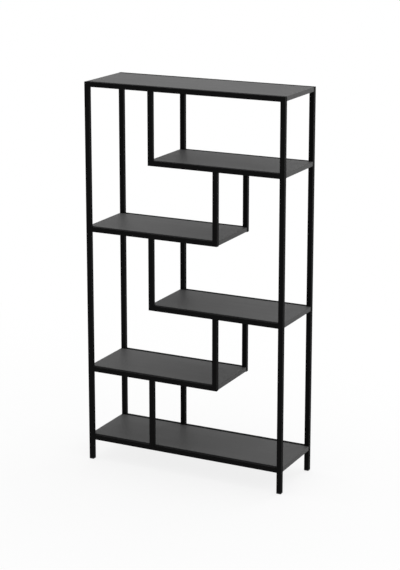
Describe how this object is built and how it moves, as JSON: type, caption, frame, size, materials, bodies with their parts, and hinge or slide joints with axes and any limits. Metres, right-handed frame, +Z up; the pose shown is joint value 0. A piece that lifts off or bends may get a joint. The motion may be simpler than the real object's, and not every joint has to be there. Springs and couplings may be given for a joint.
{
  "type": "zigzag bookshelf",
  "caption": "Tall open bookshelf: black square-tube front and rear frames with dark grey boards that step left and right between inner struts.",
  "frame": {"origin": "on the floor, in the middle of the plan (bottom centre of the box)", "axes": "+X to the right of a person facing the front, +Y to the back, +Z up"},
  "size_m": [0.88, 0.3, 1.6],
  "materials": {
    "frame": "fine matt black powder coat on steel",
    "board": "dark grey faced chipboard, semi-matt",
    "edging": "dark grey edging strip, matched to the board",
    "foot_plastic": "black moulded plastic",
    "screw_steel": "black passivated steel"
  },
  "bodies": {
    "root": {"front_left_post": "frame", "front_left_foot": "foot_plastic", "front_right_post": "frame", "front_right_foot": "foot_plastic", "front_top_rail": "frame", "front_upper_right_rail": "frame", "front_upper_left_rail": "frame", "front_lower_right_rail": "frame", "front_lower_left_rail": "frame", "front_bottom_rail": "frame", "front_strut_1": "frame", "front_strut_2": "frame", "front_strut_3": "frame", "front_strut_4": "frame", "front_strut_5": "frame", "rear_left_post": "frame", "rear_left_foot": "foot_plastic", "rear_right_post": "frame", "rear_right_foot": "foot_plastic", "rear_top_rail": "frame", "rear_upper_right_rail": "frame", "rear_upper_left_rail": "frame", "rear_lower_right_rail": "frame", "rear_lower_left_rail": "frame", "rear_bottom_rail": "frame", "rear_strut_1": "frame", "rear_strut_2": "frame", "rear_strut_3": "frame", "rear_strut_4": "frame", "rear_strut_5": "frame", "top_board": "board", "top_board_edging": "edging", "top_board_tabs": "frame", "top_board_screws": "screw_steel", "upper_right_board": "board", "upper_right_board_edging": "edging", "upper_right_board_tabs": "frame", "upper_right_board_screws": "screw_steel", "upper_left_board": "board", "upper_left_board_edging": "edging", "upper_left_board_tabs": "frame", "upper_left_board_screws": "screw_steel", "lower_right_board": "board", "lower_right_board_edging": "edging", "lower_right_board_tabs": "frame", "lower_right_board_screws": "screw_steel", "lower_left_board": "board", "lower_left_board_edging": "edging", "lower_left_board_tabs": "frame", "lower_left_board_screws": "screw_steel", "bottom_board": "board", "bottom_board_edging": "edging", "bottom_board_tabs": "frame", "bottom_board_screws": "screw_steel"}
  },
  "joints": []
}
